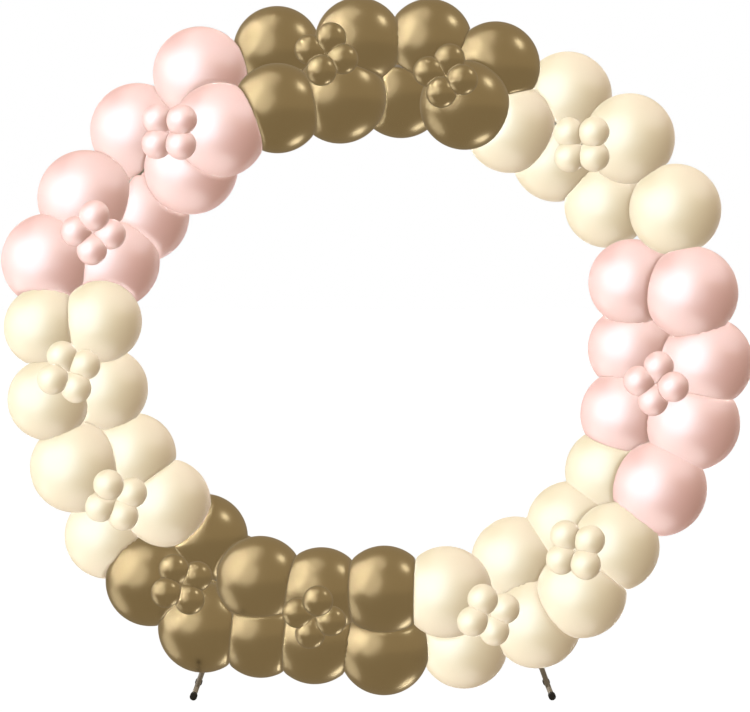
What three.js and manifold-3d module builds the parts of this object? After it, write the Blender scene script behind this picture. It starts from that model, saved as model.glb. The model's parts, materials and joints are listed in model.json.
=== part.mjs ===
// Balloon garland: quads of large balloons tied round an oval tube hoop, with
// clusters of four small balloons tucked into the front, on two tube feet.
// Millimetres, +Z up, front towards -Y.
//
// Places round the hoop are given by turn, in degrees clockwise from the top as
// seen from the front, and by reach, how far outside the tube a middle lies.
import * as THREE from "three";
import { mergeVertices } from "three/addons/utils/BufferGeometryUtils.js";
import Module from "manifold-3d";

const wasm = await Module();
wasm.setup();

// the stand
const hoopHalfWidth = 1015;
const hoopHalfHeight = 950;
const hoopHeight = 1200;
const hoopSteps = 36;
const hoopSides = 6;
const tubeRadius = 9;
const tubeSides = 8;
const footSpread = 607;
const footLength = 420;
const strutLean = 20;
const strutTop = 350;
const capRadius = 12.5;
const capLength = 44;
const capDepth = 34;
const capNose = 5;

// the balloons
const rowDepth = 105;
const backSize = 0.95;
const backTuck = 12;
const smallRadius = 51;
const clusterRadius = 58;
const clusterSlack = 30;
const pressDepth = 8;
const tubeRoom = 20;
const joinRadius = 6;
const joinSides = 3;
const joinReach = 0.4;
const knotRadius = 30;
const frontSides = 7;
const frontRings = 5;
const facetSwell = 1.035;
const smallSwell = 1.12;
const gap = 0.3;
const mergeWithin = 1e-4;

const finishes = {
  gold: { color: 0x8c764b, roughness: 0.22, metalness: 0.9 },
  cream: { color: 0xece3c4, roughness: 0.3, metalness: 0.15 },
  pink: { color: 0xe4c0b2, roughness: 0.3, metalness: 0.15 },
  tube: { color: 0x857b6d, roughness: 0.35, metalness: 0.8 },
  rubber: { color: 0x35312c, roughness: 0.75, metalness: 0 },
};

// One row for each quad, clockwise from the top left. Its outer and its inner
// front balloon: turn, reach, how far it is pushed back from the front row, and
// radius. Two quads in the lower bends are trios, with no inner front balloon.
const quads = [
  { finish: "gold", outer: [343, 100, 90, 150], inner: [339.5, -95, -60, 152] },
  { finish: "gold", outer: [357.5, 80, 10, 149], inner: [353, -105, -10, 156] },
  { finish: "gold", outer: [10, 95, 30, 146], inner: [6, -85, 100, 156] },
  { finish: "gold", outer: [22.5, 75, 20, 151], inner: [19.5, -90, -100, 151] },
  { finish: "cream", outer: [36.5, 105, 100, 152], inner: [30.5, -95, 20, 153] },
  { finish: "cream", outer: [49.5, 125, -60, 153], inner: [42.5, -85, 100, 151] },
  { finish: "cream", outer: [64.5, 115, -80, 155], inner: [57.5, -65, 80, 146] },
  { finish: "pink", outer: [80, 75, -100, 158], inner: [75.5, -105, 0, 148] },
  { finish: "pink", outer: [93, 115, -80, 155], inner: [91, -130, 50, 150] },
  { finish: "pink", outer: [104.5, 105, -60, 159], inner: [106.5, -115, 40, 154] },
  { finish: "pink", outer: [118, 85, -60, 161], inner: [120, -80, 70, 151] },
  { finish: "cream", outer: [131.5, 80, -70, 151], inner: [134.5, -65, 70, 151] },
  { finish: "cream", outer: [141.5, 120, -80, 153] },
  { finish: "cream", outer: [151, 135, 0, 154], inner: [148.5, -80, 70, 151] },
  { finish: "cream", outer: [164, 115, 20, 151], inner: [164.5, -85, -90, 155] },
  { finish: "gold", outer: [178, 90, -10, 154], inner: [177.5, -120, -80, 152] },
  { finish: "gold", outer: [190.5, 70, 0, 154], inner: [191, -100, -50, 149] },
  { finish: "gold", outer: [200, 100, 20, 151], inner: [204, -75, -20, 150] },
  { finish: "gold", outer: [209.5, 160, 30, 155] },
  { finish: "gold", outer: [221.5, 130, 40, 154], inner: [219, -95, 90, 151] },
  { finish: "cream", outer: [232.5, 130, 100, 149], inner: [230.5, -105, 0, 151] },
  { finish: "cream", outer: [246.5, 80, -80, 154], inner: [243.5, -105, 0, 146] },
  { finish: "cream", outer: [260, 95, -100, 138], inner: [260, -100, -30, 139] },
  { finish: "cream", outer: [273.5, 95, -90, 136], inner: [275.5, -95, -100, 138] },
  { finish: "pink", outer: [285.5, 125, -30, 159], inner: [289, -80, 20, 160] },
  { finish: "pink", outer: [298.5, 95, 10, 163], inner: [301, -95, 100, 161] },
  { finish: "pink", outer: [314, 100, 80, 162], inner: [316.5, -120, 0, 159] },
  { finish: "pink", outer: [329, 125, 40, 160], inner: [326.5, -80, -100, 160] },
];

// In a trio the inner balloon lies at the back, close behind the tube.
const trioReach = -20;
const trioBack = 170;

// Small clusters: where the middle lies and how far the four are spun round it.
const clusters = [
  { finish: "gold", turn: 351.5, reach: 38, spin: 16 },
  { finish: "gold", turn: 14, reach: -21, spin: 14 },
  { finish: "cream", turn: 44, reach: -11, spin: 44 },
  { finish: "pink", turn: 98, reach: -58, spin: 9 },
  { finish: "cream", turn: 137, reach: -22, spin: -35 },
  { finish: "cream", turn: 158, reach: 16, spin: -20 },
  { finish: "gold", turn: 191.5, reach: -28, spin: 13 },
  { finish: "gold", turn: 217, reach: 56, spin: -27 },
  { finish: "cream", turn: 237.5, reach: 4, spin: -24 },
  { finish: "cream", turn: 265, reach: 1, spin: -24 },
  { finish: "pink", turn: 293.5, reach: 5, spin: 5 },
  { finish: "pink", turn: 318.5, reach: 6, spin: -43 },
];

const radians = THREE.MathUtils.degToRad;

function onHoop(turn, reach, depth) {
  const angle = radians(turn);
  const x = (hoopHalfWidth + reach) * Math.sin(angle);
  const z = (hoopHalfHeight + reach) * Math.cos(angle);
  return new THREE.Vector3(x, depth, hoopHeight + z);
}

function nearestOnHoop(point) {
  const across = point.x / hoopHalfWidth;
  const up = (point.z - hoopHeight) / hoopHalfHeight;
  return onHoop(THREE.MathUtils.radToDeg(Math.atan2(across, up)), 0, 0);
}

// ---- solids and meshes

function toSolid(geometry, matrix = new THREE.Matrix4()) {
  const bare = geometry.clone().applyMatrix4(matrix);
  bare.deleteAttribute("normal");
  bare.deleteAttribute("uv");
  const merged = mergeVertices(bare, mergeWithin);
  return new wasm.Manifold(new wasm.Mesh({
    numProp: 3,
    vertProperties: Float32Array.from(merged.attributes.position.array),
    triVerts: Uint32Array.from(merged.index.array),
  }));
}

function toMesh(solid, name, finish) {
  const { vertProperties, triVerts } = solid.getMesh();
  const geometry = new THREE.BufferGeometry();
  const positions = new THREE.BufferAttribute(Float32Array.from(vertProperties), 3);
  geometry.setAttribute("position", positions);
  geometry.setIndex(new THREE.BufferAttribute(Uint32Array.from(triVerts), 1));
  geometry.computeVertexNormals();
  const mesh = new THREE.Mesh(geometry, new THREE.MeshStandardMaterial(finishes[finish]));
  mesh.name = name;
  return mesh;
}

// ---- the stand

// A torus of radius 1 with a section of radius 0.5, carried over to the oval.
function hoopGeometry(radius) {
  const ring = new THREE.TorusGeometry(1, 0.5, hoopSides, hoopSteps);
  const points = ring.attributes.position;
  for (let index = 0; index < points.count; index += 1) {
    const x = points.getX(index);
    const y = points.getY(index);
    const turn = THREE.MathUtils.radToDeg(Math.atan2(x, y));
    const outward = (Math.hypot(x, y) - 1) * 2 * radius;
    const depth = -points.getZ(index) * 2 * radius;
    const moved = onHoop(turn, outward, depth);
    points.setXYZ(index, moved.x, moved.y, moved.z);
  }
  return ring;
}

function rodBetween(start, end, radius = tubeRadius, sides = tubeSides) {
  const along = end.clone().sub(start);
  const rod = new THREE.CylinderGeometry(radius, radius, along.length(), sides);
  const aim = new THREE.Quaternion().setFromUnitVectors(new THREE.Vector3(0, 1, 0), along.normalize());
  const middle = start.clone().lerp(end, 0.5);
  return toSolid(rod, new THREE.Matrix4().compose(middle, aim, new THREE.Vector3(1, 1, 1)));
}

function strutEnds(side) {
  const inward = (strutTop - capRadius) * Math.tan(radians(strutLean));
  const start = new THREE.Vector3(side * footSpread, 0, capRadius);
  const end = new THREE.Vector3(side * (footSpread - inward), 0, strutTop);
  return [start, end];
}

// A floor bar running front to back, with a leaning strut welded to its middle
// and a saddle cut in the strut where it meets the hoop.
function footSolid(side, hoopRoom) {
  const half = footLength / 2 - capLength + capDepth - gap;
  const front = new THREE.Vector3(side * footSpread, -half, capRadius);
  const back = new THREE.Vector3(side * footSpread, half, capRadius);
  return rodBetween(front, back).add(rodBetween(...strutEnds(side))).subtract(hoopRoom);
}

// A rubber cup over the end of a floor bar. One of its flat sides is its sole.
function capSolid(side, end) {
  const toCorner = 1 / Math.cos(Math.PI / tubeSides);
  const outer = capRadius * toCorner;
  const bore = (tubeRadius + gap) * toCorner;
  const floor = capLength - capDepth;
  const profile = [
    new THREE.Vector2(0, 0),
    new THREE.Vector2(outer - capNose, 0),
    new THREE.Vector2(outer, capNose),
    new THREE.Vector2(outer, capLength),
    new THREE.Vector2(bore, capLength),
    new THREE.Vector2(bore, floor),
    new THREE.Vector2(0, floor),
  ];
  const cup = new THREE.LatheGeometry(profile, tubeSides);
  cup.rotateY(Math.PI / tubeSides);
  if (end > 0) cup.rotateZ(Math.PI);
  cup.translate(side * footSpread, end * footLength / 2, capRadius);
  return toSolid(cup);
}

// ---- the balloons

// The balloons of a quad: the outer pair, then the inner pair, front first.
function quadBalloons({ outer, inner }) {
  const found = [];
  for (const [turn, reach, back, radius] of inner ? [outer, inner] : [outer]) {
    const tuck = reach < 0 ? backTuck : 0;
    const front = onHoop(turn, reach, back - rowDepth);
    const behind = onHoop(turn, reach + tuck, back + rowDepth);
    found.push({ middle: front, radius, turn, face: "front" });
    found.push({ middle: behind, radius: radius * backSize, turn, face: "back" });
  }
  if (!inner) {
    const [turn, , , radius] = outer;
    const middle = onHoop(turn, trioReach, trioBack);
    found.push({ middle, radius: radius * backSize, turn, face: "back" });
  }
  return found;
}

// Each small balloon sinks back until it presses on a large one, though none
// lies much deeper than the foremost of its four.
function clusterBalloons({ turn, reach, spin }, large) {
  const middle = onHoop(turn, reach, 0);
  const four = [0, 90, 180, 270].map((quarter) => {
    const angle = radians(spin + quarter);
    const x = middle.x + clusterRadius * Math.sin(angle);
    const z = middle.z + clusterRadius * Math.cos(angle);
    const depths = large.map((balloon) => {
      const touch = balloon.radius + smallRadius - pressDepth;
      const aside = Math.hypot(x - balloon.middle.x, z - balloon.middle.z);
      return aside < touch ? balloon.middle.y - Math.sqrt(touch ** 2 - aside ** 2) : Infinity;
    });
    return { middle: new THREE.Vector3(x, Math.min(...depths), z), radius: smallRadius, turn };
  });
  const foremost = Math.min(...four.map((balloon) => balloon.middle.y));
  for (const { middle: place } of four) place.y = Math.min(place.y, foremost + clusterSlack);
  return four;
}

// How far a balloon may reach towards what it presses on, as flat faces.
function limitsOf(balloon, large, own) {
  const limits = [];
  const addLimit = (point, distanceFor) => {
    const between = point.clone().sub(balloon.middle);
    const apart = between.length();
    limits.push({ direction: between.normalize(), distance: distanceFor(apart) });
  };
  const isSmall = !large.includes(balloon);
  for (const other of isSmall ? [...large, ...own] : large) {
    if (other === balloon) continue;
    const rest = (apart) => apart - other.radius * facetSwell - gap;
    const meet = (apart) => contactFrom(balloon, other, apart) - gap / 2;
    addLimit(other.middle, isSmall && large.includes(other) ? rest : meet);
  }
  addLimit(nearestOnHoop(balloon.middle), (apart) => apart - tubeRoom);
  for (const side of [-1, 1]) {
    const strut = new THREE.Line3(...strutEnds(side));
    const nearest = strut.closestPointToPoint(balloon.middle, true, new THREE.Vector3());
    addLimit(nearest, (apart) => apart - tubeRadius - 2 * gap);
  }
  return limits;
}

function contactFrom(balloon, other, apart) {
  return (apart ** 2 + balloon.radius ** 2 - other.radius ** 2) / (2 * apart);
}

// A ball whose points are drawn in to its limits, with its crown turned away
// from the tube.
function balloonSolid(balloon, ball, limits) {
  const crown = balloon.middle.clone().sub(nearestOnHoop(balloon.middle)).normalize();
  ball.applyQuaternion(new THREE.Quaternion().setFromUnitVectors(new THREE.Vector3(0, 1, 0), crown));
  const points = ball.attributes.position;
  const point = new THREE.Vector3();
  for (let index = 0; index < points.count; index += 1) {
    point.fromBufferAttribute(points, index);
    for (const { direction, distance } of limits) {
      const along = point.dot(direction);
      if (along > distance) point.multiplyScalar(distance / along);
    }
    points.setXYZ(index, point.x, point.y, point.z);
  }
  return toSolid(ball, new THREE.Matrix4().setPosition(balloon.middle));
}

function ballFor({ radius, face }) {
  if (face === "front") {
    return new THREE.SphereGeometry(radius * facetSwell, frontSides, frontRings);
  }
  if (face === "back") return new THREE.DodecahedronGeometry(radius * facetSwell, 0);
  return new THREE.IcosahedronGeometry(radius * smallSwell, 0);
}

// Balloons of one quad or cluster hold together where they press on each other:
// each one joins the nearest of those already joined, clear of the tube.
function joinsOf(set) {
  const joined = [set[0]];
  const joins = [];
  while (joined.length < set.length) {
    let best = { apart: Infinity };
    for (const one of joined) {
      for (const other of set.filter((balloon) => !joined.includes(balloon))) {
        const halfWay = one.middle.clone().lerp(other.middle, 0.5);
        const apart = one.middle.distanceTo(other.middle);
        const isClear = halfWay.distanceTo(nearestOnHoop(halfWay)) > 2 * tubeRoom;
        if (isClear && apart < best.apart) best = { one, other, apart };
      }
    }
    const { one, other, apart } = best;
    const contact = contactFrom(one, other, apart);
    const reach = joinReach * one.radius;
    const along = (distance) => one.middle.clone().lerp(other.middle, distance / apart);
    joins.push(rodBetween(along(contact - reach), along(contact + reach), joinRadius, joinSides));
    joined.push(other);
  }
  return joins;
}

// The knot in the middle of a small cluster, with a corner in each balloon.
function knotOf(set, spin) {
  const middle = new THREE.Vector3();
  for (const balloon of set) middle.addScaledVector(balloon.middle, 1 / set.length);
  const knot = new THREE.OctahedronGeometry(knotRadius, 0).rotateY(radians(spin));
  return toSolid(knot, new THREE.Matrix4().setPosition(middle));
}

function tiedSolid(set, large, ties) {
  const balloons = set.map((balloon) => (
    balloonSolid(balloon, ballFor(balloon), limitsOf(balloon, large, set))
  ));
  return [...balloons, ...ties].reduce((all, one) => all.add(one));
}

// ---- the whole garland

const garland = new THREE.Group();
const hoop = toSolid(hoopGeometry(tubeRadius));
const hoopRoom = toSolid(hoopGeometry(tubeRadius + 2 * gap));
garland.add(toMesh(hoop, "hoop", "tube"));
for (const [side, name] of [[-1, "left"], [1, "right"]]) {
  garland.add(toMesh(footSolid(side, hoopRoom), `${name}_foot`, "tube"));
  garland.add(toMesh(capSolid(side, -1), `${name}_front_cap`, "rubber"));
  garland.add(toMesh(capSolid(side, 1), `${name}_back_cap`, "rubber"));
}

const numbered = (index) => String(index + 1).padStart(2, "0");
const quadSets = quads.map(quadBalloons);
const large = quadSets.flat();
quadSets.forEach((set, index) => {
  const { finish } = quads[index];
  const quad = tiedSolid(set, large, joinsOf(set));
  garland.add(toMesh(quad, `${finish}_quad_${numbered(index)}`, finish));
});
clusters.forEach((cluster, index) => {
  const set = clusterBalloons(cluster, large);
  const name = `${cluster.finish}_cluster_${numbered(index)}`;
  const tied = tiedSolid(set, large, [knotOf(set, cluster.spin)]);
  garland.add(toMesh(tied, name, cluster.finish));
});

// Stand the garland on the floor, centred over the origin.
const box = new THREE.Box3().setFromObject(garland);
const centre = box.getCenter(new THREE.Vector3());
garland.position.set(-centre.x, -centre.y, -box.min.z);

export default garland;
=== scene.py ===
import json
import math
import bmesh
import bpy
import numpy as np
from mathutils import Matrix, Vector


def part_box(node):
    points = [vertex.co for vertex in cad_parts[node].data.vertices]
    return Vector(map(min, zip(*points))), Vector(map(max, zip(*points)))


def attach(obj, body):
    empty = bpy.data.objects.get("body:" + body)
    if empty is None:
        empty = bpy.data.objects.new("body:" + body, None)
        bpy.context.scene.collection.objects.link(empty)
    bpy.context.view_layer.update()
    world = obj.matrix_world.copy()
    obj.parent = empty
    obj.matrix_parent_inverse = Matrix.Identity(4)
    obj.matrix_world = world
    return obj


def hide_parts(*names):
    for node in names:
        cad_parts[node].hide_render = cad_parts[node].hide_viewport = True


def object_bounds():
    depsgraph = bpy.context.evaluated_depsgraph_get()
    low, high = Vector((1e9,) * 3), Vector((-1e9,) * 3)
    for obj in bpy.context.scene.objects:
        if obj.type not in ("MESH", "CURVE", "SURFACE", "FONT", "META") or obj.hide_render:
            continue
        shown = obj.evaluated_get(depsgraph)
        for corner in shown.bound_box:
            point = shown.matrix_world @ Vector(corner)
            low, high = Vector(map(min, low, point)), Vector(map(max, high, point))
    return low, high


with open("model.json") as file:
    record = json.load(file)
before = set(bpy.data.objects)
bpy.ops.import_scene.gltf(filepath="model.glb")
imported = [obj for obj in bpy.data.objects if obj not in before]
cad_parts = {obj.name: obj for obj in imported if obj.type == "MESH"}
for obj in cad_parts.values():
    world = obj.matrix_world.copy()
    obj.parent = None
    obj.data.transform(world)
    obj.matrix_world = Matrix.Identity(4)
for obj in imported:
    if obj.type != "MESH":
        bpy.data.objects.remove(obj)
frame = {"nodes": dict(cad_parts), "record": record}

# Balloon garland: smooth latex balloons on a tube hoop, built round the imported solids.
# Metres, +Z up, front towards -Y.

cadLow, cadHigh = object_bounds()
scene = bpy.context.scene
slotOf = {row["node"]: row["material_slot"] for row in frame["record"]["subparts"]}
mm = 0.001


# ---------- where the balloons are

# The tube's middle line is an oval round the middle of the hoop's box.
hoop = {
    "tubeRadius": 0.009,
    "sideSteps": 24,
    "ringSteps": 240,
}
hoopLow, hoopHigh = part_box("hoop")
hoopMiddle = (hoopLow + hoopHigh) / 2
halfWidth = (hoopHigh.x - hoopLow.x) / 2 - hoop["tubeRadius"]
halfHeight = (hoopHigh.z - hoopLow.z) / 2 - hoop["tubeRadius"]

# The front balloons of each quad, in the order of the node numbers: turn in degrees
# clockwise from the top, then millimetres outside the tube, back from the front row,
# and radius. A trio has no inner front balloon. These rows and the clusters' were
# worked out by separate fitting programs and then rounded.
quadRows = [
    [(343, 100, 90, 150), (339.5, -95, -60, 152)],
    [(357.5, 80, 10, 149), (353, -105, -10, 156)],
    [(10, 95, 30, 146), (6, -85, 100, 156)],
    [(22.5, 75, 20, 151), (19.5, -90, -100, 151)],
    [(36.5, 105, 100, 152), (30.5, -95, 20, 153)],
    [(49.5, 125, -60, 153), (42.5, -85, 100, 151)],
    [(64.5, 115, -80, 155), (57.5, -65, 80, 146)],
    [(80, 75, -100, 158), (75.5, -105, 0, 148)],
    [(93, 115, -80, 155), (91, -130, 50, 150)],
    [(104.5, 105, -60, 159), (106.5, -115, 40, 154)],
    [(118, 85, -60, 161), (120, -80, 70, 151)],
    [(131.5, 80, -70, 151), (134.5, -65, 70, 151)],
    [(141.5, 120, -80, 153)],
    [(151, 135, 0, 154), (148.5, -80, 70, 151)],
    [(164, 115, 20, 151), (164.5, -85, -90, 155)],
    [(178, 90, -10, 154), (177.5, -120, -80, 152)],
    [(190.5, 70, 0, 154), (191, -100, -50, 149)],
    [(200, 100, 20, 151), (204, -75, -20, 150)],
    [(209.5, 160, 30, 155)],
    [(221.5, 130, 40, 154), (219, -95, 90, 151)],
    [(232.5, 130, 100, 149), (230.5, -105, 0, 151)],
    [(246.5, 80, -80, 154), (243.5, -105, 0, 146)],
    [(260, 95, -100, 138), (260, -100, -30, 139)],
    [(273.5, 95, -90, 136), (275.5, -95, -100, 138)],
    [(285.5, 125, -30, 159), (289, -80, 20, 160)],
    [(298.5, 95, 10, 163), (301, -95, 100, 161)],
    [(314, 100, 80, 162), (316.5, -120, 0, 159)],
    [(329, 125, 40, 160), (326.5, -80, -100, 160)],
]

# Each small cluster: turn, millimetres outside the tube, and spin in degrees.
clusterRows = [
    (351.5, 38, 16), (14, -21, 14), (44, -11, 44), (98, -58, 9),
    (137, -22, -35), (158, 16, -20), (191.5, -28, 13), (217, 56, -27),
    (237.5, 4, -24), (265, 1, -24), (293.5, 5, 5), (318.5, 6, -43),
]

largeBalloon = {
    "rowDepth": 0.105,     # the front row's middles lie this far before the tube
    "backSize": 0.95,      # a back balloon's size against the one before it
    "backTuck": 0.012,     # inner back balloons sit this much further out
    "trioReach": -0.020,   # the odd back balloon of a trio
    "trioBack": 0.170,
    "fineness": 5,         # icosphere subdivisions
    "softness": 42,        # lower rounds the edges of the pressed places more
    "tubeRoom": 0.014,
    "strutRoom": 0.0105,
    "skinGap": 0.0004,
    "dentApart": 1.03,     # see limitsOf
}

smallBalloon = {
    "radius": 0.051,
    "circle": 0.058,       # the four middles lie on a circle of this radius
    "slack": 0.030,        # none lies much deeper than the foremost
    "press": 0.008,        # how far each is pressed on a large balloon
    "segments": 36,
    "softness": 42,
    "neckRadius": 0.0042,
    "neckReach": 0.0565,
    "neckStart": 0.9,      # the neck lies beyond this share of the radius
    "neckRoom": 0.009,     # and within this distance of the axis
    "neckTurn": 0.17,      # radians off the axis where the shoulder starts
    "stretch": 0.07,       # the shoulder is drawn out towards the neck by this share
    "stretchTurn": 0.42,   # radians over which that fades
    "bodySteps": 26,
}

# The rolled lip at the end of a small balloon's neck: distance from the axis as a
# share of the neck's radius, and metres above the neck's end.
lipOutline = [(0, 0.0012), (0.7, 0.001), (1.35, 0), (1.5, 0.0008), (1.25, 0.0016), (0.8, 0.0022)]

# Guards in the geometry.
edgeOn = 1e-3      # a direction this near to edge-on never meets a flat
farAway = 1e3      # metres, where nothing limits a direction
onAxis = 1e-6      # metres, a lathe's point this near its axis is on it


def onHoop(turn, reach, depth):
    angle = math.radians(turn)
    x = hoopMiddle.x + (halfWidth + reach) * math.sin(angle)
    z = hoopMiddle.z + (halfHeight + reach) * math.cos(angle)
    return Vector((x, hoopMiddle.y + depth, z))


def nearestOnHoop(point):
    across = (point.x - hoopMiddle.x) / halfWidth
    up = (point.z - hoopMiddle.z) / halfHeight
    return onHoop(math.degrees(math.atan2(across, up)), 0, 0)


def quadBalloons(row):
    found = []
    for turn, reach, back, radius in row:
        reach, back, radius = reach * mm, back * mm, radius * mm
        tuck = largeBalloon["backTuck"] if reach < 0 else 0
        front = onHoop(turn, reach, back - largeBalloon["rowDepth"])
        behind = onHoop(turn, reach + tuck, back + largeBalloon["rowDepth"])
        found.append({"middle": front, "radius": radius, "inner": reach < 0})
        found.append({"middle": behind, "radius": radius * largeBalloon["backSize"], "inner": reach < 0})
    if len(row) == 1:
        middle = onHoop(row[0][0], largeBalloon["trioReach"], largeBalloon["trioBack"])
        radius = row[0][3] * mm * largeBalloon["backSize"]
        found.append({"middle": middle, "radius": radius, "inner": True})
    return found


def clusterBalloons(row, large):
    turn, reach, spin = row
    centre = onHoop(turn, reach * mm, 0)
    four = []
    for quarter in (0, 90, 180, 270):
        angle = math.radians(spin + quarter)
        x = centre.x + smallBalloon["circle"] * math.sin(angle)
        z = centre.z + smallBalloon["circle"] * math.cos(angle)
        depths = []
        for balloon in large:
            touch = balloon["radius"] + smallBalloon["radius"] - smallBalloon["press"]
            aside = math.hypot(x - balloon["middle"].x, z - balloon["middle"].z)
            if aside < touch:
                depths.append(balloon["middle"].y - math.sqrt(touch ** 2 - aside ** 2))
        four.append({"middle": Vector((x, min(depths), z)), "radius": smallBalloon["radius"]})
    foremost = min(balloon["middle"].y for balloon in four)
    tie = Vector((centre.x, 0, centre.z))
    for balloon in four:
        balloon["middle"].y = min(balloon["middle"].y, foremost + smallBalloon["slack"])
        tie.y += balloon["middle"].y / len(four)
    for balloon in four:
        balloon["tie"] = tie
    return four


def numbered(kind):
    return sorted((name for name in frame["nodes"] if kind in name), key=lambda name: name[-2:])


quadNodes = numbered("_quad_")
clusterNodes = numbered("_cluster_")
quadSets = [quadBalloons(row) for row in quadRows]
largeBalloons = [balloon for balloons in quadSets for balloon in balloons]
clusterSets = [clusterBalloons(row, largeBalloons) for row in clusterRows]
print("places found:", len(largeBalloons), "large balloons,", 4 * len(clusterSets), "small ones")


# ---------- balloon shapes

def contactFrom(balloon, other, apart):
    return (apart ** 2 + balloon["radius"] ** 2 - other["radius"] ** 2) / (2 * apart)


# The middle line of a foot's strut, from the floor, outermost, up and in to the hoop.
def strutLine(side):
    low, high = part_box(side + "_foot")
    outerX, innerX, inwards = (low.x, high.x, 1) if side == "left" else (high.x, low.x, -1)
    inset = hoop["tubeRadius"] * inwards
    middleY = (low.y + high.y) / 2
    return Vector((outerX + inset, middleY, low.z)), Vector((innerX - inset, middleY, high.z))


strutLines = [strutLine(side) for side in ("left", "right")]


def nearestOnLine(point, line):
    start, end = line
    along = (point - start).dot(end - start) / (end - start).length_squared
    return start.lerp(end, min(max(along, 0), 1))


# What a balloon presses against: flats, and the balls of neighbours. Of two balloons
# in the same row, the one further out from the hoop keeps its round shape and dents
# the other. That takes a distance of dentApart times the one at which their skins
# would cross at a right angle, and nearer balloons meet on a flat.
def limitsOf(balloon, others):
    isSmall = "tie" in balloon
    rows = []
    balls = []
    for other in others:
        if other is balloon:
            continue
        between = other["middle"] - balloon["middle"]
        apart = between.length
        if apart > balloon["radius"] + other["radius"]:
            continue
        if isSmall and "tie" not in other:
            rows.append((between.normalized(), apart - other["radius"] - largeBalloon["skinGap"]))
            continue
        outward = -1 if balloon["middle"].y < hoopMiddle.y else 1
        sameSide = (other["middle"].y - hoopMiddle.y) * outward > 0
        roomy = apart > largeBalloon["dentApart"] * math.hypot(balloon["radius"], other["radius"])
        if sameSide and roomy:
            if between.y * outward > 0:
                balls.append((tuple(between), other["radius"] + largeBalloon["skinGap"]))
            continue
        distance = contactFrom(balloon, other, apart) - largeBalloon["skinGap"] / 2
        rows.append((between.normalized(), distance))
    if not isSmall:
        rooms = [(nearestOnHoop(balloon["middle"]), largeBalloon["tubeRoom"])]
        for line in strutLines:
            rooms.append((nearestOnLine(balloon["middle"], line), largeBalloon["strutRoom"]))
        for point, room in rooms:
            between = point - balloon["middle"]
            if between.length < balloon["radius"] + room:
                rows.append((between.normalized(), between.length - room))
    return rows, balls


# Draws points in to the limits, with rounded edges where the limits meet the ball.
def pressIn(points, limits, softness):
    flats, balls = limits
    length = np.linalg.norm(points, axis=1)
    unit = points / length[:, None]
    total = length ** -softness
    for direction, distance in flats:
        along = unit @ np.array(direction)
        reach = distance / np.maximum(along, edgeOn)
        total += np.where(along > edgeOn, reach, farAway) ** -softness
    for middle, radius in balls:
        middle = np.array(middle)
        along = unit @ middle
        inside = along ** 2 - (middle @ middle - radius ** 2)
        meets = (inside > 0) & (along > 0)
        reach = along - np.sqrt(np.maximum(inside, 0))
        total += np.where(meets, reach, farAway) ** -softness
    return unit * (total ** (-1 / softness))[:, None]


def icosphere(fineness):
    mesh = bmesh.new()
    bmesh.ops.create_icosphere(mesh, subdivisions=fineness, radius=1)
    points = np.array([vertex.co for vertex in mesh.verts])
    faces = [[vertex.index for vertex in face.verts] for face in mesh.faces]
    mesh.free()
    return points, faces


# A small balloon's profile from the lip of its neck, over the shoulder, to its crown:
# distance from the axis, and height above the middle.
def smallProfile():
    steps, start = smallBalloon["bodySteps"], smallBalloon["neckTurn"]
    profile = []
    for share, rise in lipOutline:
        profile.append((smallBalloon["neckRadius"] * share, rise - smallBalloon["neckReach"]))
    for step in range(steps + 1):
        angle = start + (math.pi - start) * step / steps
        drop = smallBalloon["stretch"] * math.exp(-((angle / smallBalloon["stretchTurn"]) ** 2))
        away = smallBalloon["radius"] * (1 + drop)
        profile.append((away * math.sin(angle), -away * math.cos(angle)))
    return profile


def latheBody(profile, segments):
    rings = []
    points = []
    for away, height in profile:
        if away < onAxis:
            rings.append([len(points)] * segments)
            points.append((0, 0, height))
            continue
        rings.append(list(range(len(points), len(points) + segments)))
        for segment in range(segments):
            angle = 2 * math.pi * segment / segments
            points.append((away * math.cos(angle), away * math.sin(angle), height))
    faces = []
    for lower, upper in zip(rings, rings[1:]):
        for segment in range(segments):
            after = (segment + 1) % segments
            corners = [lower[segment], lower[after], upper[after], upper[segment]]
            faces.append(list(dict.fromkeys(corners)))
    return np.array(points), faces


largePoints, largeFaces = icosphere(largeBalloon["fineness"])
smallPoints, smallFaces = latheBody(smallProfile(), smallBalloon["segments"])


def largeShape(balloon):
    limits = limitsOf(balloon, largeBalloons)
    points = pressIn(largePoints * balloon["radius"], limits, largeBalloon["softness"])
    return points + np.array(balloon["middle"]), largeFaces


# The neck isn't pressed: it runs in to the point where the four are tied.
def smallShape(balloon, own):
    up = (balloon["middle"] - balloon["tie"]).normalized()
    turned = np.array(up.to_track_quat("Z", "Y").to_matrix())
    points = smallPoints @ turned.T
    below = smallPoints[:, 2] < -smallBalloon["radius"] * smallBalloon["neckStart"]
    slim = np.hypot(smallPoints[:, 0], smallPoints[:, 1]) < smallBalloon["neckRoom"]
    pressed = pressIn(points, limitsOf(balloon, largeBalloons + own), smallBalloon["softness"])
    points = np.where((below & slim)[:, None], points, pressed)
    return points + np.array(balloon["middle"]), smallFaces


# Chrome and pearl balloons each have their own lamps. The stand has the chrome's.
lit = {
    "gold": bpy.data.collections.new("litAsGold"),
    "pearl": bpy.data.collections.new("litAsPearl"),
}


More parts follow.
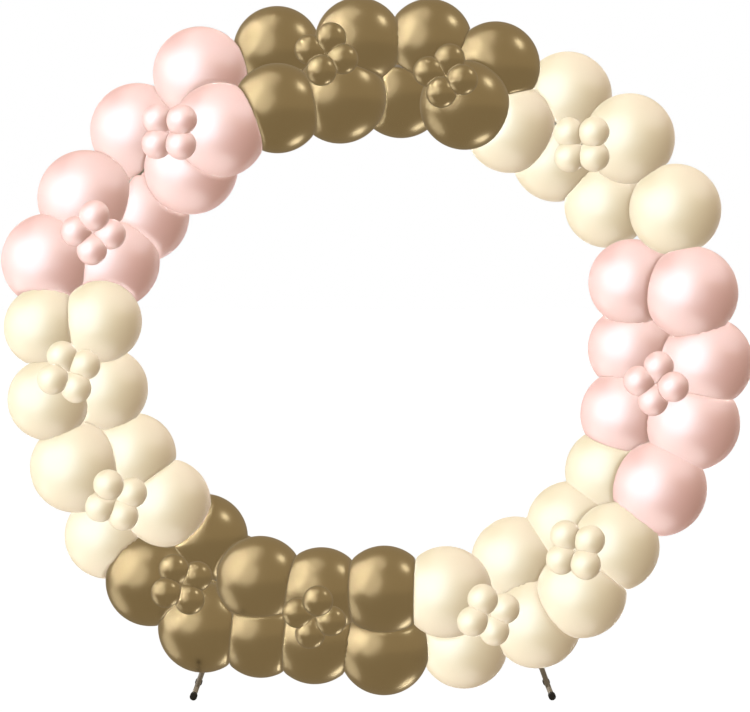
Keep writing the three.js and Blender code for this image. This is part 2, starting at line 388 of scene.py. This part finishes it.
def meshPiece(name, shapes, slot, *nodes):
    points, faces = [], []
    for shapePoints, shapeFaces in shapes:
        start = len(points)
        points.extend(map(tuple, shapePoints))
        faces.extend([start + corner for corner in face] for face in shapeFaces)
    mesh = bpy.data.meshes.new(name)
    mesh.from_pydata(points, [], faces)
    mesh.shade_smooth()
    piece = bpy.data.objects.new(name, mesh)
    scene.collection.objects.link(piece)
    mesh.materials.append(finishes[slot])
    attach(piece, "root")
    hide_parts(*nodes)
    if slot in latex:
        lit["gold" if slot == "chrome_gold" else "pearl"].objects.link(piece)
        piece.visible_diffuse = False     # balloons neither shade nor mirror each other
        piece.visible_glossy = False
        piece.visible_shadow = False
    else:
        lit["gold"].objects.link(piece)
        piece.visible_glossy = False      # the balloons don't mirror the stand
    return piece


# ---------- finishes

def newMaterial(name):
    material = bpy.data.materials.new(name)
    material.use_nodes = True
    nodes, links = material.node_tree.nodes, material.node_tree.links
    return material, nodes, links, nodes["Principled BSDF"]


# Each noise of the latex skin: scale, detail and roughness.
skinNoise = {
    "cloud": (9, 3, 0.5),
    "speck": (900, 2, 0.6),
    "peel": (260, 2, 0.5),
}
skinPeelDepth = 0.0005
skinSockets = {
    "INPUT": {"Base": "Color", "Deep": "Color", "Mottle": "Float", "Roughness": "Float",
              "Roughness Spread": "Float"},
    "OUTPUT": {"Color": "Color", "Roughness": "Float", "Height": "Float"},
}
mixColors, mixedColor = (6, 7), 2    # where a mix node keeps its colour sockets


# Soft cloudy mottling and a faint orange peel, as in stretched latex skin.
def makeSkinGroup():
    group = bpy.data.node_groups.new("latexSkin", "ShaderNodeTree")
    for end, sockets in skinSockets.items():
        for name, kind in sockets.items():
            group.interface.new_socket(name, in_out=end, socket_type="NodeSocket" + kind)
    nodes, links = group.nodes, group.links
    entry, leave = nodes.new("NodeGroupInput"), nodes.new("NodeGroupOutput")
    place = nodes.new("ShaderNodeTexCoord")

    def noise(name):
        scale, detail, roughness = skinNoise[name]
        node = nodes.new("ShaderNodeTexNoise")
        node.inputs["Scale"].default_value = scale
        node.inputs["Detail"].default_value = detail
        node.inputs["Roughness"].default_value = roughness
        links.new(place.outputs["Object"], node.inputs["Vector"])
        return node

    cloud = noise("cloud")
    speck = noise("speck")
    peel = noise("peel")
    share = nodes.new("ShaderNodeMath")
    share.operation = "MULTIPLY"
    links.new(cloud.outputs["Fac"], share.inputs[0])
    links.new(entry.outputs["Mottle"], share.inputs[1])
    mix = nodes.new("ShaderNodeMix")
    mix.data_type = "RGBA"
    links.new(share.outputs[0], mix.inputs["Factor"])
    links.new(entry.outputs["Base"], mix.inputs[mixColors[0]])
    links.new(entry.outputs["Deep"], mix.inputs[mixColors[1]])
    links.new(mix.outputs[mixedColor], leave.inputs["Color"])
    spread = nodes.new("ShaderNodeMath")
    spread.operation = "MULTIPLY_ADD"
    links.new(speck.outputs["Fac"], spread.inputs[0])
    links.new(entry.outputs["Roughness Spread"], spread.inputs[1])
    links.new(entry.outputs["Roughness"], spread.inputs[2])
    links.new(spread.outputs[0], leave.inputs["Roughness"])
    links.new(peel.outputs["Fac"], leave.inputs["Height"])
    return group


skinGroup = makeSkinGroup()

# Colours, roughness and ior started from a fit and were then set in round steps.
latex = {
    "chrome_gold": {
        "base": (0.80, 0.65, 0.38), "deep": (0.74, 0.59, 0.33), "mottle": 0.5,
        "roughness": 0.28, "spread": 0.03, "metallic": 1.0, "peel": 0.02, "ior": 1.5,
    },
    "pearl_cream": {
        "base": (0.80, 0.62, 0.40), "deep": (0.75, 0.57, 0.35), "mottle": 0.5,
        "roughness": 0.40, "spread": 0.04, "metallic": 0.0, "peel": 0.03, "ior": 2.6,
    },
    "pearl_pink": {
        "base": (0.85, 0.44, 0.38), "deep": (0.80, 0.40, 0.34), "mottle": 0.5,
        "roughness": 0.40, "spread": 0.04, "metallic": 0.0, "peel": 0.03, "ior": 3.5,
    },
}


def latexMaterial(slot):
    look = latex[slot]
    material, nodes, links, shader = newMaterial(slot)
    skin = nodes.new("ShaderNodeGroup")
    skin.node_tree = skinGroup
    skin.inputs["Base"].default_value = (*look["base"], 1)
    skin.inputs["Deep"].default_value = (*look["deep"], 1)
    skin.inputs["Mottle"].default_value = look["mottle"]
    skin.inputs["Roughness"].default_value = look["roughness"] - look["spread"] / 2
    skin.inputs["Roughness Spread"].default_value = look["spread"]
    bump = nodes.new("ShaderNodeBump")
    bump.inputs["Strength"].default_value = look["peel"]
    bump.inputs["Distance"].default_value = skinPeelDepth
    links.new(skin.outputs["Color"], shader.inputs["Base Color"])
    links.new(skin.outputs["Roughness"], shader.inputs["Roughness"])
    links.new(skin.outputs["Height"], bump.inputs["Height"])
    links.new(bump.outputs["Normal"], shader.inputs["Normal"])
    shader.inputs["Metallic"].default_value = look["metallic"]
    shader.inputs["IOR"].default_value = look["ior"]
    return material


standLooks = {
    "tube_steel": {
        "light": (0.65, 0.60, 0.50), "dark": (0.45, 0.40, 0.35),
        "roughness": 0.40, "metallic": 0.40,
    },
    "cap_rubber": {
        "light": (0.045, 0.042, 0.038), "dark": (0.022, 0.021, 0.02),
        "roughness": 0.72, "metallic": 0.0,
    },
}
standGrain = {
    "scale": 420,
    "detail": 4,
    "darkBelow": 0.35,
    "lightAbove": 0.65,
    "roughnessSpread": 0.06,    # either way
    "bump": 0.15,
    "bumpDepth": 0.0003,
}


def standMaterial(slot):
    look = standLooks[slot]
    material, nodes, links, shader = newMaterial(slot)
    place = nodes.new("ShaderNodeTexCoord")
    grain = nodes.new("ShaderNodeTexNoise")
    grain.inputs["Scale"].default_value = standGrain["scale"]
    grain.inputs["Detail"].default_value = standGrain["detail"]
    links.new(place.outputs["Object"], grain.inputs["Vector"])
    ramp = nodes.new("ShaderNodeValToRGB")
    ramp.color_ramp.elements[0].position = standGrain["darkBelow"]
    ramp.color_ramp.elements[0].color = (*look["dark"], 1)
    ramp.color_ramp.elements[1].position = standGrain["lightAbove"]
    ramp.color_ramp.elements[1].color = (*look["light"], 1)
    links.new(grain.outputs["Fac"], ramp.inputs["Fac"])
    links.new(ramp.outputs["Color"], shader.inputs["Base Color"])
    rough = nodes.new("ShaderNodeMapRange")
    rough.inputs["To Min"].default_value = look["roughness"] - standGrain["roughnessSpread"]
    rough.inputs["To Max"].default_value = look["roughness"] + standGrain["roughnessSpread"]
    links.new(grain.outputs["Fac"], rough.inputs["Value"])
    links.new(rough.outputs["Result"], shader.inputs["Roughness"])
    bump = nodes.new("ShaderNodeBump")
    bump.inputs["Strength"].default_value = standGrain["bump"]
    bump.inputs["Distance"].default_value = standGrain["bumpDepth"]
    links.new(grain.outputs["Fac"], bump.inputs["Height"])
    links.new(bump.outputs["Normal"], shader.inputs["Normal"])
    shader.inputs["Metallic"].default_value = look["metallic"]
    return material


finishes = {slot: latexMaterial(slot) for slot in latex}
finishes.update({slot: standMaterial(slot) for slot in standLooks})
print("finishes made:", ", ".join(finishes))


# ---------- the balloons

creamInner = "pink_quad_11"    # this pink quad has cream inner balloons

for node, balloons in zip(quadNodes, quadSets):
    if node == creamInner:
        outer = [largeShape(balloon) for balloon in balloons if not balloon["inner"]]
        inner = [largeShape(balloon) for balloon in balloons if balloon["inner"]]
        meshPiece(node.replace("quad", "pair"), outer, slotOf[node], node)
        meshPiece("cream_pair_11", inner, "pearl_cream", node)
        continue
    shapes = [largeShape(balloon) for balloon in balloons]
    meshPiece(node.replace("quad", "balloons"), shapes, slotOf[node], node)
print("large balloons blown up")

for node, balloons in zip(clusterNodes, clusterSets):
    shapes = [smallShape(balloon, balloons) for balloon in balloons]
    meshPiece(node.replace("cluster", "small_balloons"), shapes, slotOf[node], node)
print("small balloons blown up")


# ---------- the stand

# A round tube along a line of middles. Its sides are set out from a direction that
# the line doesn't run along: Y, or X for a bar that runs front to back.
def sweptTube(centres, radius, sides, closed=False):
    centres = [Vector(point) for point in centres]
    count = len(centres)
    points, faces = [], []
    lengthwise = (centres[-1] - centres[0]).normalized()
    frontToBack = abs(lengthwise.y) > 0.9 and not closed
    side = Vector((1, 0, 0)) if frontToBack else Vector((0, 1, 0))
    for index, centre in enumerate(centres):
        before = centres[index - 1] if closed or index > 0 else centre
        after = centres[(index + 1) % count] if closed or index < count - 1 else centre
        along = (after - before).normalized()
        across = along.cross(side).normalized()
        up = across.cross(along).normalized()
        for step in range(sides):
            angle = 2 * math.pi * step / sides
            points.append(centre + radius * (math.cos(angle) * across + math.sin(angle) * up))
    for index in range(count if closed else count - 1):
        low, high = index * sides, ((index + 1) % count) * sides
        for step in range(sides):
            after = (step + 1) % sides
            faces.append([low + step, low + after, high + after, high + step])
    if not closed:
        faces.append(list(range(sides))[::-1])
        faces.append([(count - 1) * sides + step for step in range(sides)])
    return np.array([tuple(point) for point in points]), faces


hoopCentres = [onHoop(360 * step / hoop["ringSteps"], 0, 0) for step in range(hoop["ringSteps"])]
hoopTube = sweptTube(hoopCentres, hoop["tubeRadius"], hoop["sideSteps"], closed=True)
meshPiece("hoop_tube", [hoopTube], slotOf["hoop"], "hoop")

foot = {
    "sides": 24,
    "barRadius": 0.009,
    "rimRound": 0.002,
    "rimSteps": 3,
    "rimTurn": 50,      # degrees, edges sharper than this are rounded
}
for side in ("left", "right"):
    low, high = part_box(side + "_foot")
    start, end = strutLine(side)
    barZ = low.z + foot["barRadius"]
    barEnds = [(start.x, low.y, barZ), (start.x, high.y, barZ)]
    bar = sweptTube(barEnds, foot["barRadius"], foot["sides"])
    strut = sweptTube([Vector((start.x, start.y, barZ)), end], foot["barRadius"], foot["sides"])
    meshPiece(side + "_foot_tubes", [bar, strut], slotOf[side + "_foot"], side + "_foot")
    for place in ("front", "back"):
        node = f"{side}_{place}_cap"
        capLow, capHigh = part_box(node)
        middle = (capLow + capHigh) / 2
        radius = (capHigh.z - capLow.z) / 2
        ends = [(middle.x, capLow.y, middle.z), (middle.x, capHigh.y, middle.z)]
        cup = meshPiece(node + "_cup", [sweptTube(ends, radius, foot["sides"])], slotOf[node], node)
        rim = cup.modifiers.new("roundedRim", "BEVEL")
        rim.width = foot["rimRound"]
        rim.segments = foot["rimSteps"]
        rim.limit_method = "ANGLE"
        rim.angle_limit = math.radians(foot["rimTurn"])
print("stand made")


# ---------- floor, light and camera

studio = {
    "floorSize": 120,
    "roomColor": (0.30, 0.25, 0.18),    # the warm room that the balloons see
    "floorColor": (0.80, 0.80, 0.80),
    "floorRoughness": 0.9,
    "floorGlow": 0.90,                  # share of plain glow that the camera sees
    "floorStrength": 1.12,
    "white": (1, 1, 1, 1),
}


def floorMaterial():
    material, nodes, links, shader = newMaterial("paleFloor")
    shader.inputs["Base Color"].default_value = (*studio["floorColor"], 1)
    shader.inputs["Roughness"].default_value = studio["floorRoughness"]
    glow = nodes.new("ShaderNodeEmission")
    glow.inputs["Color"].default_value = studio["white"]
    glow.inputs["Strength"].default_value = studio["floorStrength"]
    path = nodes.new("ShaderNodeLightPath")
    share = nodes.new("ShaderNodeMath")
    share.operation = "MULTIPLY"
    share.inputs[1].default_value = studio["floorGlow"]
    links.new(path.outputs["Is Camera Ray"], share.inputs[0])
    mix = nodes.new("ShaderNodeMixShader")
    links.new(share.outputs[0], mix.inputs[0])
    links.new(shader.outputs[0], mix.inputs[1])
    links.new(glow.outputs[0], mix.inputs[2])
    links.new(mix.outputs[0], nodes["Material Output"].inputs["Surface"])
    return material


def makeFloor():
    half = studio["floorSize"] / 2
    mesh = bpy.data.meshes.new("floor")
    corners = [(-half, -half, 0), (half, -half, 0), (half, half, 0), (-half, half, 0)]
    mesh.from_pydata(corners, [], [range(len(corners))])
    mesh.materials.append(floorMaterial())
    floor = bpy.data.objects.new("floor", mesh)
    scene.collection.objects.link(floor)


def makeSky():
    world = bpy.data.worlds.new("studio")
    world.use_nodes = True
    scene.world = world
    nodes, links = world.node_tree.nodes, world.node_tree.links
    room = nodes["Background"]
    room.inputs["Color"].default_value = (*studio["roomColor"], 1)
    backdrop = nodes.new("ShaderNodeBackground")
    backdrop.inputs["Color"].default_value = studio["white"]
    path = nodes.new("ShaderNodeLightPath")
    mix = nodes.new("ShaderNodeMixShader")
    links.new(path.outputs["Is Camera Ray"], mix.inputs[0])
    links.new(room.outputs[0], mix.inputs[1])
    links.new(backdrop.outputs[0], mix.inputs[2])
    links.new(mix.outputs[0], nodes["World Output"].inputs["Surface"])


# Each lamp: degrees round from the front (left is negative), degrees up, half the
# angle it fills, strength and tint. They were set in coarse steps, after a fit that
# several of them still follow.
lampSetup = {
    "away": 16,
    "daylight": (0.60, 0.85, 1.0),    # cool, so that a pearl highlight turns white
    "neutral": (1.0, 1.0, 1.0),
}
lamps = {
    "gold": {
        "window": (-90, 25, 35, 0.7, "neutral"),
        "windowTop": (-70, 65, 25, 0.4, "neutral"),
        "windowLow": (-110, -30, 20, 0.4, "neutral"),
        "front": (-40, 20, 30, 0.4, "neutral"),
        "spotHigh": (90, 45, 8, 1.6, "neutral"),
        "spotLow": (135, -50, 10, 1.5, "neutral"),
    },
    "pearl": {
        "window": (-45, 15, 45, 1.8, "daylight"),
        "front": (-10, 10, 45, 0.6, "neutral"),
        "top": (90, 70, 50, 0.9, "neutral"),
        "low": (-90, -70, 45, 1.0, "neutral"),
        "left": (-110, 0, 40, 0.8, "neutral"),
        "back": (170, 0, 40, 0.7, "neutral"),
    },
}


def makeLamps():
    target = (cadLow + cadHigh) / 2
    for group, rows in lamps.items():
        for name, (turn, lift, halfAngle, strength, tint) in rows.items():
            lamp = bpy.data.lights.new(f"{group}_{name}", "AREA")
            lamp.shape = "DISK"
            radius = lampSetup["away"] * math.tan(math.radians(halfAngle))
            lamp.size = 2 * radius
            lamp.color = lampSetup[tint]
            area = math.pi * radius ** 2
            lamp.energy = strength * math.pi * area    # so strength is the disk's brightness
            lamp.use_shadow = False
            lamp.cycles.use_multiple_importance_sampling = False
            heading, up = math.radians(turn), math.radians(lift)
            level = math.cos(up)
            towards = Vector((math.sin(heading) * level, -math.cos(heading) * level, math.sin(up)))
            holder = bpy.data.objects.new(lamp.name, lamp)
            holder.location = target + towards * lampSetup["away"]
            holder.rotation_euler = towards.to_track_quat("Z", "Y").to_euler()
            holder.visible_camera = False
            scene.collection.objects.link(holder)
            holder.light_linking.receiver_collection = lit[group]


# The lens and sensor are in millimetres, the turns in degrees and the rest in metres.
# A separate program solved the pitch and yaw.
camera = {
    "sensor": 36,
    "lens": 168.05,
    "away": 12.0,
    "aside": -0.033,
    "height": 1.58,
    "pitch": 2.012,
    "yaw": 0.196,
    "clipEnd": 200,
}


def makeCamera():
    data = bpy.data.cameras.new("camera")
    data.sensor_width = camera["sensor"]
    data.lens = camera["lens"]
    data.clip_end = camera["clipEnd"]
    holder = bpy.data.objects.new("camera", data)
    x, y = hoopMiddle.x + camera["aside"], hoopMiddle.y - camera["away"]
    holder.location = (x, y, camera["height"])
    holder.rotation_euler = (math.radians(90 - camera["pitch"]), 0, -math.radians(camera["yaw"]))
    scene.collection.objects.link(holder)
    scene.camera = holder


makeFloor()
makeSky()
makeLamps()
makeCamera()
scene.view_settings.view_transform = "Standard"
print("studio set up")
